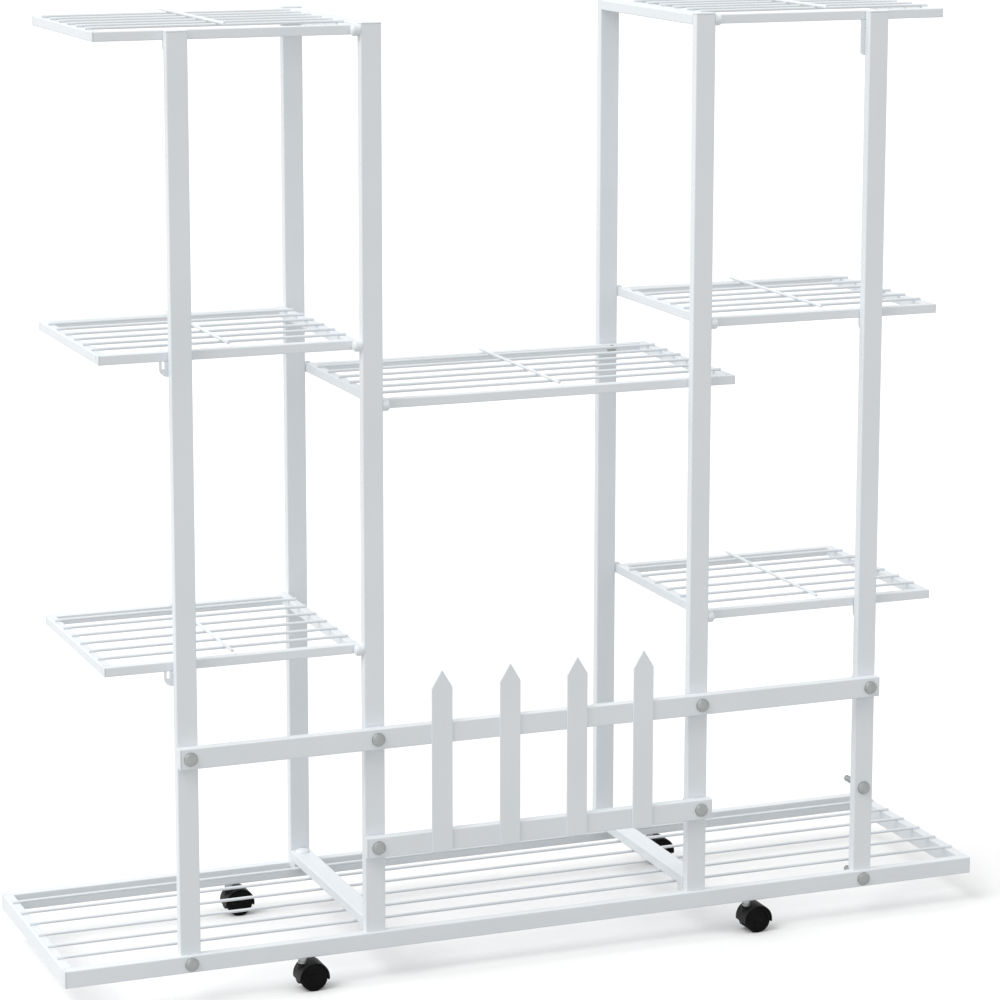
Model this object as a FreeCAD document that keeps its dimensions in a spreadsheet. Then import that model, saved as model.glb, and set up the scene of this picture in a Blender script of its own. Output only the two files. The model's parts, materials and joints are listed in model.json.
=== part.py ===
"""Plant stand: a wire base tray on four twin-wheel casters, two ladder frames, two outer
posts, seven wire shelves and a picket fence across the front.

Frame: millimetres, X to the right, Y to the back, Z up, origin on the floor under the
middle of the overall length and depth. The formulas for Y count from the middle of the
base tray, and place() adds the small shift between the two.
"""
import FreeCAD, Part
import Sketcher
import os
import re

Vector = FreeCAD.Vector
Rotation = FreeCAD.Rotation

doc = FreeCAD.newDocument("plant_stand")
sheet = doc.addObject("Spreadsheet::Sheet", "Sizes")

# Driving dimensions, in millimetres
SIZES = {
    "base_length": 945.0,
    "base_depth": 245.0,
    "base_rail_height": 16.5,
    "base_rail_width": 10.0,
    "tube_wall": 1.0,
    "tube_corner": 1.0,
    "fit_gap": 0.3,
    "cut_overrun": 2.0,
    "hole_clearance": 0.2,
    "post_width": 20.0,
    "post_depth": 10.0,
    "post_setback": 3.8,
    "ladder_half_spacing": 167.5,
    "outer_post_half_spacing": 350.8,
    "ladder_stand_up": 2.5,
    "shelf_tube": 9.0,
    "top_shelf_rise": 860.0,
    "upper_shelf_rise": 569.5,
    "lower_shelf_rise": 280.3,
    "middle_shelf_drop": 57.5,
    "side_shelf_length": 248.0,
    "middle_shelf_length": 365.0,
    "wire_diameter": 3.0,
    "weld_setdown": 0.3,
    "wire_end_margin": 2.0,
    "bush_diameter": 11.0,
    "bush_length": 5.5,
    "bush_head_diameter": 9.6,
    "bush_head_height": 2.5,
    "screw_diameter": 5.0,
    "screw_head_diameter": 9.0,
    "screw_head_height": 3.0,
    "foot_head_diameter": 14.0,
    "foot_head_height": 3.5,
    "bush_screw_grip": 7.0,
    "rail_screw_grip": 5.0,
    "lug_screw_grip": 7.0,
    "lug_thickness": 2.0,
    "lug_drop": 14.0,
    "lug_overhang": 8.0,
    "lug_corner": 7.5,
    "lug_rim": 2.2,
    "lug_slot_width": 3.0,
    "lug_slot_drop": 7.0,
    "strap_drop": 34.0,
    "strap_overhang": 4.0,
    "foot_block_length": 16.0,
    "foot_block_bite": 4.0,
    "foot_tab_rise": 24.0,
    "foot_tab_side_gap": 0.2,
    "foot_tab_tail": 15.0,
    "fence_tube_height": 20.0,
    "fence_tube_depth": 10.0,
    "fence_upper_rise": 191.5,
    "fence_lower_rise": 85.5,
    "fence_end_reach": 10.4,
    "fence_lower_reach": 12.0,
    "picket_width": 21.0,
    "picket_thickness": 2.0,
    "picket_height": 178.0,
    "picket_point_height": 17.5,
    "picket_pitch": 69.3,
    "plug_flange": 1.5,
    "plug_insert": 2.5,
    "bolt_diameter": 6.0,
    "bolt_head_diameter": 13.0,
    "bolt_head_rim": 2.2,
    "bolt_head_dome": 2.0,
    "bolt_length": 37.0,
    "nut_width": 11.5,
    "nut_height": 5.0,
    "caster_height": 32.0,
    "caster_half_spacing": 232.0,
    "caster_trail": 9.0,
    "wheel_diameter": 26.0,
    "wheel_width": 7.0,
    "wheel_corner": 1.5,
    "wheel_gap": 0.3,
    "wheel_recess_depth": 1.4,
    "wheel_recess_diameter": 19.0,
    "hood_wall": 1.4,
    "hood_running_gap": 0.6,
    "hood_skirt_drop": 2.6,
    "web_width": 6.4,
    "web_drop": 6.0,
    "axle_diameter": 4.0,
    "axle_head_diameter": 7.0,
    "axle_head_height": 1.1,
    "running_clearance": 0.05,
    "stem_diameter": 5.0,
    "stem_rise": 9.0,
    "stem_foot_gap": 2.0,
    "collar_diameter": 8.0,
    "collar_height": 2.8,
    "socket_diameter": 9.4,
    "socket_neck_diameter": 6.6,
    "socket_height": 3.0,
    "socket_plug_diameter": 7.4,
    "socket_plug_rise": 7.0,
}

# Shares of the sizes that they multiply
SHARES = {
    "shelf_end_gap_share": 0.667,
    "base_end_gap_share": 0.77,
    "dome_top_share": 0.62,
}

# Values worked out from the driving dimensions
DERIVED = {
    "base_top": "caster_height + base_rail_height",
    "base_half_depth": "base_depth / 2",
    "rail_mid": "base_half_depth - base_rail_width / 2",
    "post_front": "base_half_depth - post_setback",
    "post_mid": "post_front - post_depth / 2",
    "post_back": "post_front - post_depth",
    "middle_shelf_rise": "upper_shelf_rise - middle_shelf_drop",
    "ladder_top": "base_top + top_shelf_rise + ladder_stand_up",
    "foot_bar_floor": "base_top + wire_diameter",
    "shelf_half_depth": "post_back - fit_gap",
    "shelf_clear": "2 * (shelf_half_depth - shelf_tube)",
    "shelf_wire_pitch": "shelf_clear / (5 + 2 * shelf_end_gap_share)",
    "base_clear": "base_depth - 2 * base_rail_width",
    "base_wire_pitch": "base_clear / (5 + 2 * base_end_gap_share)",
    "wire_rise": "wire_diameter / 2 - weld_setdown",
    "fence_front": "post_front + fence_tube_depth",
    "fence_half_length": "outer_post_half_spacing + fence_end_reach",
    "fence_lower_half_length": "ladder_half_spacing + fence_lower_reach",
    "foot_screw_reach": "post_back - foot_head_diameter / 2 - fit_gap",
    "foot_pad_length": "post_back - (base_half_depth - base_rail_width - foot_block_length)",
    "foot_tab_thickness": "base_half_depth - base_rail_width - post_back - tube_wall",
    "wheel_radius": "wheel_diameter / 2",
    "wheel_inner_face": "web_width / 2 + wheel_gap",
    "wheel_outer_face": "wheel_inner_face + wheel_width",
    "hood_inner_radius": "wheel_radius + hood_running_gap",
    "hood_radius": "hood_inner_radius + hood_wall",
    "socket_floor": "caster_height - socket_height",
    "collar_floor": "socket_floor - collar_height",
    "boss_top": "collar_floor - fit_gap",
    "stem_floor": "wheel_radius + stem_foot_gap",
    "front_reach": "fence_front + bolt_head_rim + bolt_head_dome",
    "depth_shift": "(front_reach - rail_mid - wheel_outer_face) / 2",
}

aliases = list(SIZES) + list(SHARES) + list(DERIVED)
texts = {alias: str(value) for alias, value in {**SIZES, **SHARES}.items()}
texts.update({alias: "=" + text for alias, text in DERIVED.items()})
for row, alias in enumerate(aliases, start=1):
    sheet.set(f"A{row}", alias)
    sheet.setAlias(f"B{row}", alias)
for row, alias in enumerate(aliases, start=1):
    sheet.set(f"B{row}", texts[alias])
doc.recompute()

nodes = {}


def formula(text):
    """Points each size named in the text at its cell in the sheet."""
    def cell(word):
        return "Sizes." + word.group(0) if word.group(0) in aliases else word.group(0)

    return re.sub(r"[a-z][a-z_]*", cell, text)


def bind(thing, sizes):
    """Binds properties of a thing to formulas of named sizes."""
    for path, text in sizes.items():
        thing.setExpression(path, formula(text))


TURNS = {
    "x": Rotation(Vector(0, 1, 0), 90),
    "y": Rotation(Vector(1, 0, 0), -90),
    "z": Rotation(),
}
# A tube's section lies in its sketch plane, and these turns send the pad along the axis
SECTION_TURNS = {
    "x": Rotation(Vector(1, 1, 1), 120),
    "y": Rotation(Vector(1, 1, 1), 240),
    "z": Rotation(),
}


def place(thing, x, y, z, rotation=Rotation()):
    """Puts a thing at formulas for its three coordinates."""
    thing.Placement = FreeCAD.Placement(Vector(), rotation)
    for axis, text in (("x", x), ("y", f"{y} + depth_shift"), ("z", z)):
        bind(thing, {f".Placement.Base.{axis}": text})
    return thing


def box(name, size, corner):
    """A block from its three sizes and its lowest corner."""
    block = doc.addObject("Part::Box", name)
    bind(block, dict(zip(("Length", "Width", "Height"), size)))
    return place(block, *corner)


def rod(name, diameter, length, axis, start):
    """A round rod that runs along an axis from its start."""
    cylinder = doc.addObject("Part::Cylinder", name)
    bind(cylinder, {"Radius": f"({diameter}) / 2", "Height": length})
    return place(cylinder, *start, TURNS[axis])


def cone(name, first_diameter, last_diameter, length, axis, start):
    """A round taper that runs along an axis from its start."""
    taper = doc.addObject("Part::Cone", name)
    for end, diameter in (("Radius1", first_diameter), ("Radius2", last_diameter)):
        bind(taper, {end: f"({diameter}) / 2"})
    bind(taper, {"Height": length})
    return place(taper, *start, TURNS[axis])


def hexagon(name, width, length, axis, start):
    """A six-sided bar that runs along an axis from its start."""
    prism = doc.addObject("Part::Prism", name)
    prism.Polygon = 6
    bind(prism, {"Circumradius": f"({width}) / 2", "Height": length})
    return place(prism, *start, TURNS[axis])


def fuse(name, pieces):
    """One solid from pieces that overlap."""
    joined = doc.addObject("Part::MultiFuse", name)
    joined.Shapes = pieces
    return joined


def group(name, pieces):
    """Separate solids kept together."""
    bundle = doc.addObject("Part::Compound", name)
    bundle.Links = pieces
    return bundle


def cut(name, base, tools):
    """A base with all its tools taken out of it."""
    trimmed = doc.addObject("Part::Cut", name)
    trimmed.Base = base
    trimmed.Tool = tools[0] if len(tools) == 1 else group(name + "_tools", tools)
    return trimmed


def keep(node, thing):
    """Registers a finished sub-part under its node name."""
    thing.Label = node
    nodes[node] = thing
    return thing


def origin_plane(body, role):
    """A body's own origin plane, found by its role."""
    return next(f for f in body.Origin.OriginFeatures if f.Role == role)


def new_sketch(body, name):
    """An empty sketch on the body's own base plane."""
    sketch = body.newObject("Sketcher::SketchObject", name)
    sketch.AttachmentSupport = (origin_plane(body, "XY_Plane"), [""])
    sketch.MapMode = "FlatFace"
    return sketch


def add_rectangle(sketch, label, width, height):
    """A rectangle centred on the sketch's origin, with its two sizes bound."""
    corners = [Vector(-1, -1, 0), Vector(1, -1, 0), Vector(1, 1, 0), Vector(-1, 1, 0)]
    first = sketch.GeometryCount
    sketch.addGeometry([Part.LineSegment(corners[i], corners[(i + 1) % 4]) for i in range(4)], False)
    for i in range(4):
        sketch.addConstraint(Sketcher.Constraint("Coincident", first + i, 2, first + (i + 1) % 4, 1))
    for i in range(4):
        sketch.addConstraint(Sketcher.Constraint(("Horizontal", "Vertical")[i % 2], first + i))
    sketch.addConstraint(Sketcher.Constraint("Symmetric", first, 1, first + 2, 1, -1, 1))
    for kind, edge, text in (("DistanceX", 0, width), ("DistanceY", 1, height)):
        index = sketch.addConstraint(Sketcher.Constraint(kind, first + edge, 1, first + edge, 2, 1.0))
        sketch.renameConstraint(index, f"{label}_{kind}")
        sketch.setExpression(f"Constraints.{label}_{kind}", formula(text))


def add_circle(sketch, label, diameter):
    """A circle centred on the sketch's origin, with its diameter bound."""
    index = sketch.addGeometry(Part.Circle(Vector(), Vector(0, 0, 1), 1.0), False)
    sketch.addConstraint(Sketcher.Constraint("Coincident", index, 3, -1, 1))
    size = sketch.addConstraint(Sketcher.Constraint("Diameter", index, 1.0))
    sketch.renameConstraint(size, label)
    sketch.setExpression(f"Constraints.{label}", formula(diameter))


def tube(name, axis, width, height, length, start):
    """A rectangular tube with rounded edges. Width and height follow the axes after its own."""
    body = doc.addObject("PartDesign::Body", name + "_body")
    sketch = new_sketch(body, name + "_section")
    add_rectangle(sketch, "outer", width, height)
    add_rectangle(sketch, "inner", f"{width} - 2 * tube_wall", f"{height} - 2 * tube_wall")
    pad = body.newObject("PartDesign::Pad", name + "_pad")
    pad.Profile = sketch
    bind(pad, {"Length": length})
    sketch.Visibility = False
    doc.recompute()
    upright = [(i, e) for i, e in enumerate(pad.Shape.Edges, start=1) if abs(e.tangentAt(0).z) > 0.9]
    upright.sort(key=lambda item: item[1].CenterOfMass.x ** 2 + item[1].CenterOfMass.y ** 2)
    fillet = body.newObject("PartDesign::Fillet", name + "_edges")
    fillet.Base = (pad, [f"Edge{i}" for i, _ in upright[-4:]])
    bind(fillet, {"Radius": "tube_corner"})
    body.Tip = fillet
    return place(body, *start, SECTION_TURNS[axis])


def drilled(node, body, tools):
    """Keeps a tube as a node, with its holes taken out."""
    return keep(node, cut(node, body, tools) if tools else body)


# Plugs that close the open tube ends: a flange over the end and a tongue inside it
plugs = []


def end_plug(name, axis, width, height, flange_start, tongue_start):
    """One plug, from the formulas for its flange's and its tongue's lower ends."""
    cross = "xyz".index(axis)
    order = [(cross + 1) % 3, (cross + 2) % 3]
    pieces = []
    for label, start, length, shrink in (("flange", flange_start, "plug_flange", "0"),
                                         ("tongue", tongue_start, "plug_insert", "2 * tube_wall")):
        size = [None] * 3
        corner = [None] * 3
        size[cross] = length
        corner[cross] = start[cross]
        for place_index, breadth in zip(order, (width, height)):
            size[place_index] = f"{breadth} - {shrink}"
            corner[place_index] = f"{start[place_index]} - ({breadth} - {shrink}) / 2"
        pieces.append(box(f"{name}_{label}", size, corner))
    return fuse(name, pieces)


def closed_tube(name, width, height, x_start, length, y, z):
    """A tube along X with a plug in each end, from where it starts and its length over the plugs."""
    x_end = f"{x_start} + {length}"
    plug_starts = {
        "left": (x_start, f"{x_start} + plug_flange"),
        "right": (f"{x_end} - plug_flange", f"{x_end} - plug_flange - plug_insert"),
    }
    for label, (flange_x, tongue_x) in plug_starts.items():
        plugs.append(end_plug(f"{name}_{label}_plug", "x", width, height, (flange_x, y, z), (tongue_x, y, z)))
    return tube(name, "x", width, height, f"{length} - 2 * plug_flange", (f"{x_start} + plug_flange", y, z))


SIDES = {"left": "-", "right": ""}
ENDS = {"front": "-", "rear": ""}
BOLT_HOLE = "bolt_diameter + 2 * hole_clearance"
SCREW_HOLE = "screw_diameter + 2 * hole_clearance"
POST_HOLE_START = "-(post_front + cut_overrun)"
POST_HOLE_LENGTH = "post_depth + 2 * cut_overrun"

# Heights of the three tiers of side shelves and of the middle shelf, to the top of their rails
TIERS = {name: f"base_top + {name}_shelf_rise" for name in ("top", "upper", "lower", "middle")}
SIDE_TIERS = ("top", "upper", "lower")


# Casters: fixed stems and sockets, then a swivelling hood, an axle and two wheels each
def caster_places():
    """Every caster's name with formulas for its stem's X and Y."""
    for end, end_sign in ENDS.items():
        for side, side_sign in SIDES.items():
            yield f"{end}_{side}", f"{side_sign}caster_half_spacing - caster_trail", f"{end_sign}rail_mid"


def wheel(name, x, y_face, turn):
    """One wheel: a rounded disc with a bore and a recess in its outer face."""
    body = doc.addObject("PartDesign::Body", name + "_body")
    disc = new_sketch(body, name + "_disc")
    add_circle(disc, "tread", "wheel_diameter")
    add_circle(disc, "bore", "axle_diameter + 2 * running_clearance")
    pad = body.newObject("PartDesign::Pad", name + "_pad")
    pad.Profile = disc
    bind(pad, {"Length": "wheel_width"})
    recess = new_sketch(body, name + "_recess")
    add_circle(recess, "dish", "wheel_recess_diameter")
    pocket = body.newObject("PartDesign::Pocket", name + "_pocket")
    pocket.Profile = recess
    pocket.Reversed = True
    bind(pocket, {"Length": "wheel_recess_depth"})
    doc.recompute()
    if not pocket.Shape.Volume < pad.Shape.Volume:
        raise RuntimeError(f"{name}: the recess cuts nothing")
    widest = max(e.BoundBox.XLength for e in pocket.Shape.Edges)
    rims = [f"Edge{i}" for i, e in enumerate(pocket.Shape.Edges, start=1)
            if e.BoundBox.ZLength < widest * 1e-6 and e.BoundBox.XLength > widest * 0.999]
    fillet = body.newObject("PartDesign::Fillet", name + "_tread")
    fillet.Base = (pocket, rims)
    bind(fillet, {"Radius": "wheel_corner"})
    body.Tip = fillet
    return keep(name, place(body, x, y_face, "wheel_radius", Rotation(Vector(1, 0, 0), turn)))


def hood(name, x, y):
    """The caster's body: a cover over both wheels, a web between them and a boss round the stem."""
    wheel_x = f"{x} + caster_trail"
    full_width = "2 * wheel_outer_face"
    y_low = f"{y} - wheel_outer_face"
    inside = "wheel_outer_face - web_width / 2"
    disc = rod(name + "_disc", "2 * hood_radius", full_width, "y", (wheel_x, y_low, "wheel_radius"))
    boss = rod(name + "_boss", "socket_diameter", "boss_top - wheel_radius", "z", (x, y, "wheel_radius"))
    solid = fuse(name + "_solid", [disc, boss])
    tools = []
    for label, y_space in (("front", f"{y_low} - cut_overrun"), ("rear", f"{y} + web_width / 2")):
        space_width = f"{inside} + cut_overrun"
        tools.append(rod(f"{name}_{label}_bay", "2 * hood_inner_radius", space_width, "y",
                         (wheel_x, y_space, "wheel_radius")))
        skirt_corner = (f"{wheel_x} - hood_radius", y_space, "wheel_radius - hood_skirt_drop - hood_radius")
        tools.append(box(f"{name}_{label}_skirt", ("2 * hood_radius", space_width, "hood_radius"),
                         skirt_corner))
    tools.append(box(name + "_web_floor", ("2 * hood_radius", full_width, "hood_radius"),
                     (f"{wheel_x} - hood_radius", y_low, "wheel_radius - web_drop - hood_radius")))
    tools.append(rod(name + "_stem_bore", "stem_diameter + 2 * running_clearance", "caster_height", "z",
                     (x, y, "stem_floor - fit_gap")))
    tools.append(rod(name + "_collar_seat", "collar_diameter + 2 * fit_gap", "caster_height", "z",
                     (x, y, "boss_top")))
    tools.append(rod(name + "_axle_bore", "axle_diameter + 2 * running_clearance", full_width, "y",
                     (wheel_x, y_low, "wheel_radius")))
    return keep(name, cut(name, solid, tools))


def axle(name, x, y):
    """A pin through the web with a head outside each wheel's hub."""
    hub_face = "wheel_outer_face - wheel_recess_depth + wheel_gap"
    pin = rod(name + "_pin", "axle_diameter", f"2 * ({hub_face} + axle_head_height)", "y",
              (x, f"{y} - ({hub_face}) - axle_head_height", "wheel_radius"))
    heads = [rod(f"{name}_{label}", "axle_head_diameter", "axle_head_height", "y", (x, start, "wheel_radius"))
             for label, start in (("front_head", f"{y} - ({hub_face}) - axle_head_height"),
                                  ("rear_head", f"{y} + {hub_face}"))]
    return keep(name, fuse(name, [pin] + heads))


stems = []
sockets = []
for place_name, stem_x, stem_y in caster_places():
    shaft = rod(f"{place_name}_shaft", "stem_diameter", "caster_height + stem_rise - stem_floor", "z",
                (stem_x, stem_y, "stem_floor"))
    collar_start = (stem_x, stem_y, "collar_floor")
    collar = rod(f"{place_name}_collar", "collar_diameter", "collar_height", "z", collar_start)
    stems.append(fuse(f"{place_name}_stem", [shaft, collar]))
    flare = cone(f"{place_name}_flare", "socket_neck_diameter", "socket_diameter", "socket_height", "z",
                 (stem_x, stem_y, "socket_floor"))
    plug = rod(f"{place_name}_plug", "socket_plug_diameter", "socket_plug_rise", "z",
               (stem_x, stem_y, "caster_height"))
    bore = rod(f"{place_name}_socket_bore", "stem_diameter", "caster_height", "z", collar_start)
    sockets.append(cut(f"{place_name}_socket", fuse(f"{place_name}_socket_solid", [flare, plug]), [bore]))
    wheel_x = f"{stem_x} + caster_trail"
    hood(f"{place_name}_caster_hood", stem_x, stem_y)
    axle(f"{place_name}_caster_axle", wheel_x, stem_y)
    wheel(f"{place_name}_front_wheel", wheel_x, f"{stem_y} - wheel_outer_face", -90)
    wheel(f"{place_name}_rear_wheel", wheel_x, f"{stem_y} + wheel_outer_face", 90)
keep("caster_stems", group("caster_stems", stems))
keep("caster_sockets", group("caster_sockets", sockets))


# Base tray: four tubes and six wires laid on the end tubes
def caster_holes(end):
    """Holes for the caster sockets in the floor of one long base rail."""
    hole = "socket_plug_diameter + 2 * hole_clearance"
    return [rod(f"{name}_rail_hole", hole, "tube_wall + 2 * cut_overrun", "z",
                (x, y, "caster_height - cut_overrun"))
            for name, x, y in caster_places() if name.startswith(end)]


def base_bolt_holes():
    """Holes through the front rail for the bolts of the outer posts."""
    return [rod(f"{side}_base_bolt_hole", BOLT_HOLE, "base_rail_width + 2 * cut_overrun", "y",
                (f"{sign}outer_post_half_spacing", "-(base_half_depth + cut_overrun)",
                 "caster_height + base_rail_height / 2"))
            for side, sign in SIDES.items()]


rail_height_middle = "caster_height + base_rail_height / 2"
for end, sign in ENDS.items():
    node = f"base_{end}_rail"
    rail = closed_tube(node, "base_rail_width", "base_rail_height", "-base_length / 2", "base_length",
                       f"{sign}rail_mid", rail_height_middle)
    drilled(node, rail, caster_holes(end) + (base_bolt_holes() if end == "front" else []))
for side, sign in SIDES.items():
    node = f"base_{side}_rail"
    middle = f"{sign}(base_length - base_rail_width) / 2"
    keep(node, tube(node, "y", "base_rail_height", "base_rail_width", "base_clear",
                    (middle, "-base_clear / 2", rail_height_middle)))


def wires(node, x_start, x_end, pitch, top, seats):
    """Six parallel wires along X whose undersides are flattened where they seat on end tubes."""
    length = f"{x_end} - ({x_start})"
    spread = [rod(f"{node}_{i}", "wire_diameter", length, "x",
                  (x_start, f"({i} - 2.5) * {pitch}", f"{top} + wire_rise")) for i in range(6)]
    return cut(node + "_seated", group(node + "_round", spread), seats)


def seat(name, x_start, width, half_depth, top):
    """The space just under a tube's top face, which the wires may not enter."""
    return box(name, (width, f"2 * {half_depth}", "wire_diameter"),
               (x_start, f"-{half_depth}", f"{top} - wire_diameter"))


seat_starts = {"left": "-base_length / 2", "right": "base_length / 2 - base_rail_width"}
base_seats = [seat(f"base_{side}_seat", start, "base_rail_width", "base_half_depth", "base_top")
              for side, start in seat_starts.items()]
wire_reach = "(base_length / 2 - wire_end_margin)"
keep("base_wires",
     wires("base_wires", f"-{wire_reach}", wire_reach, "base_wire_pitch", "base_top", base_seats))


# Ladders: two posts, a top bar and a foot bar each, bolted down through welded blocks
def fence_bolt_holes(node, x, rises):
    """Bolt holes through a front post at each fence rail's height."""
    return [rod(f"{node}_bolt_hole_{i}", BOLT_HOLE, POST_HOLE_LENGTH, "y",
                (x, POST_HOLE_START, f"base_top + {rise}")) for i, rise in enumerate(rises)]


def bush_screw_holes(node, x_face, y, tiers):
    """Screw holes in a ladder post's side wall at each shelf that its bushes carry."""
    start = f"{x_face} - tube_wall - cut_overrun"
    return [rod(f"{node}_{tier}_screw_hole", SCREW_HOLE, "2 * (tube_wall + cut_overrun)", "x",
                (start, y, f"{TIERS[tier]} - shelf_tube / 2")) for tier in tiers]


foot_blocks = []
foot_screws = []
for side, side_sign in SIDES.items():
    mid = f"{side_sign}ladder_half_spacing"
    outward_face = f"{mid} {'-' if side == 'left' else '+'} post_width / 2"
    inward_face = f"{mid} {'+' if side == 'left' else '-'} post_width / 2"
    for end, end_sign in ENDS.items():
        node = f"{side}_ladder_{end}_post"
        y = f"{end_sign}post_mid"
        post = tube(node, "z", "post_width", "post_depth", "ladder_top - plug_flange - base_top",
                    (mid, y, "base_top"))
        tools = bush_screw_holes(node, outward_face, y, SIDE_TIERS)
        if end == "front":
            tools += fence_bolt_holes(node, mid, ("fence_upper_rise", "fence_lower_rise"))
        if side == "left":
            tools += bush_screw_holes(node, inward_face, y, ("middle",))
        else:
            tools.append(rod(f"{node}_shelf_screw_hole", SCREW_HOLE, "2 * (tube_wall + cut_overrun)", "y",
                             (mid, f"{end_sign}post_back - tube_wall - cut_overrun",
                              f"{TIERS['middle']} - shelf_tube / 2")))
        drilled(node, post, tools)
        screw_y = f"{end_sign}foot_screw_reach"
        block_mid = f"{end_sign}(base_half_depth - base_rail_width - foot_block_length / 2)"
        block_y = f"{block_mid} - foot_block_length / 2"
        bracket = box(f"{node}_block_bracket", ("post_width", "foot_block_length", "foot_block_bite"),
                      (f"{mid} - post_width / 2", block_y, "base_top - foot_block_bite"))
        pad_y = block_y if end == "rear" else "-post_back"
        pad = box(f"{node}_block_pad", ("post_width", "foot_pad_length", "wire_diameter"),
                  (f"{mid} - post_width / 2", pad_y, "base_top"))
        block = fuse(f"{node}_block_blank", [bracket, pad])
        screw_foot = (mid, screw_y, "base_top - foot_block_bite")
        bore = rod(f"{node}_block_bore", SCREW_HOLE, "base_top", "z", screw_foot)
        foot_blocks.append(cut(f"{node}_block", block, [bore]))
        shank_length = "post_depth + wire_diameter + foot_block_bite"
        shank = rod(f"{node}_foot_shank", "screw_diameter", shank_length, "z", screw_foot)
        head = cone(f"{node}_foot_head", "foot_head_diameter", "foot_head_diameter * dome_top_share",
                    "foot_head_height", "z", (mid, screw_y, "foot_bar_floor + post_depth"))
        foot_screws.append(fuse(f"{node}_foot_screw", [shank, head]))
    bar_length = "2 * post_back"
    keep(f"{side}_ladder_top_bar",
         tube(f"{side}_ladder_top_bar", "y", "post_depth", "post_width", bar_length,
              (mid, "-post_back", "ladder_top - plug_flange - post_depth / 2")))
    foot_bar = tube(f"{side}_ladder_foot_bar", "y", "post_depth", "post_width", bar_length,
                    (mid, "-post_back", "foot_bar_floor + post_depth / 2"))
    holes = [rod(f"{side}_{end}_foot_hole", SCREW_HOLE, "post_depth + 2 * cut_overrun", "z",
                 (mid, f"{sign}foot_screw_reach", "foot_bar_floor - cut_overrun"))
             for end, sign in ENDS.items()]
    drilled(f"{side}_ladder_foot_bar", foot_bar, holes)
keep("ladder_foot_blocks", group("ladder_foot_blocks", foot_blocks))
keep("foot_screws", group("foot_screws", foot_screws))


def lug_shape(side, tier):
    """How far a shelf's lug shows beside its outer post, and how far it hangs below the rail."""
    if (side, tier) == ("right", "top"):
        return "strap_overhang", "strap_drop"
    if side == "left" and tier != "top":
        return "lug_overhang", "lug_drop"
    return "0", "lug_drop"


def lug_screw_heights(side, tier):
    """Heights of the screws through a shelf's lug: one under the rail, and one more in a long lug's end."""
    rail_floor = f"{TIERS[tier]} - shelf_tube"
    heights = [f"{rail_floor} - lug_drop / 2"]
    if lug_shape(side, tier)[1] == "strap_drop":
        heights.append(f"{rail_floor} - strap_drop + lug_drop / 2")
    return heights


# Outer posts: each stands on the front rail and is held by a tab welded inside its foot
foot_tabs = []
for side, sign in SIDES.items():
    node = f"{side}_outer_post"
    mid = f"{sign}outer_post_half_spacing"
    post = tube(node, "z", "post_width", "post_depth", "top_shelf_rise - plug_flange",
                (mid, "-post_mid", "base_top"))
    rises = ("fence_upper_rise",) if side == "left" else ("fence_upper_rise", "fence_lower_rise")
    tools = fence_bolt_holes(node, mid, rises)
    for tier in SIDE_TIERS:
        for i, height in enumerate(lug_screw_heights(side, tier)):
            tools.append(rod(f"{node}_{tier}_lug_hole_{i}", SCREW_HOLE, "2 * (tube_wall + cut_overrun)", "y",
                             (mid, "-post_back - tube_wall - cut_overrun", height)))
    drilled(node, post, tools)
    tab_width = "post_width - 2 * (tube_wall + foot_tab_side_gap)"
    tab_size = (tab_width, "foot_tab_thickness", "foot_tab_rise + foot_tab_tail")
    tab_y = "-(base_half_depth - base_rail_width)"
    tab_corner = (f"{mid} - ({tab_width}) / 2", tab_y, "base_top - foot_tab_tail")
    tab = box(f"{side}_tab_blank", tab_size, tab_corner)
    hole = rod(f"{side}_tab_hole", BOLT_HOLE, "base_rail_width + foot_tab_thickness + 2 * cut_overrun", "y",
               (mid, "-(base_half_depth + cut_overrun)", rail_height_middle))
    foot_tabs.append(cut(f"{side}_foot_tab", tab, [hole]))
keep("outer_post_foot_tabs", group("outer_post_foot_tabs", foot_tabs))


# Shelves: four tubes, six long wires and one cross wire welded down on them
bushes = []
bush_screws = []
short_screws = []
lugs = []


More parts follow.
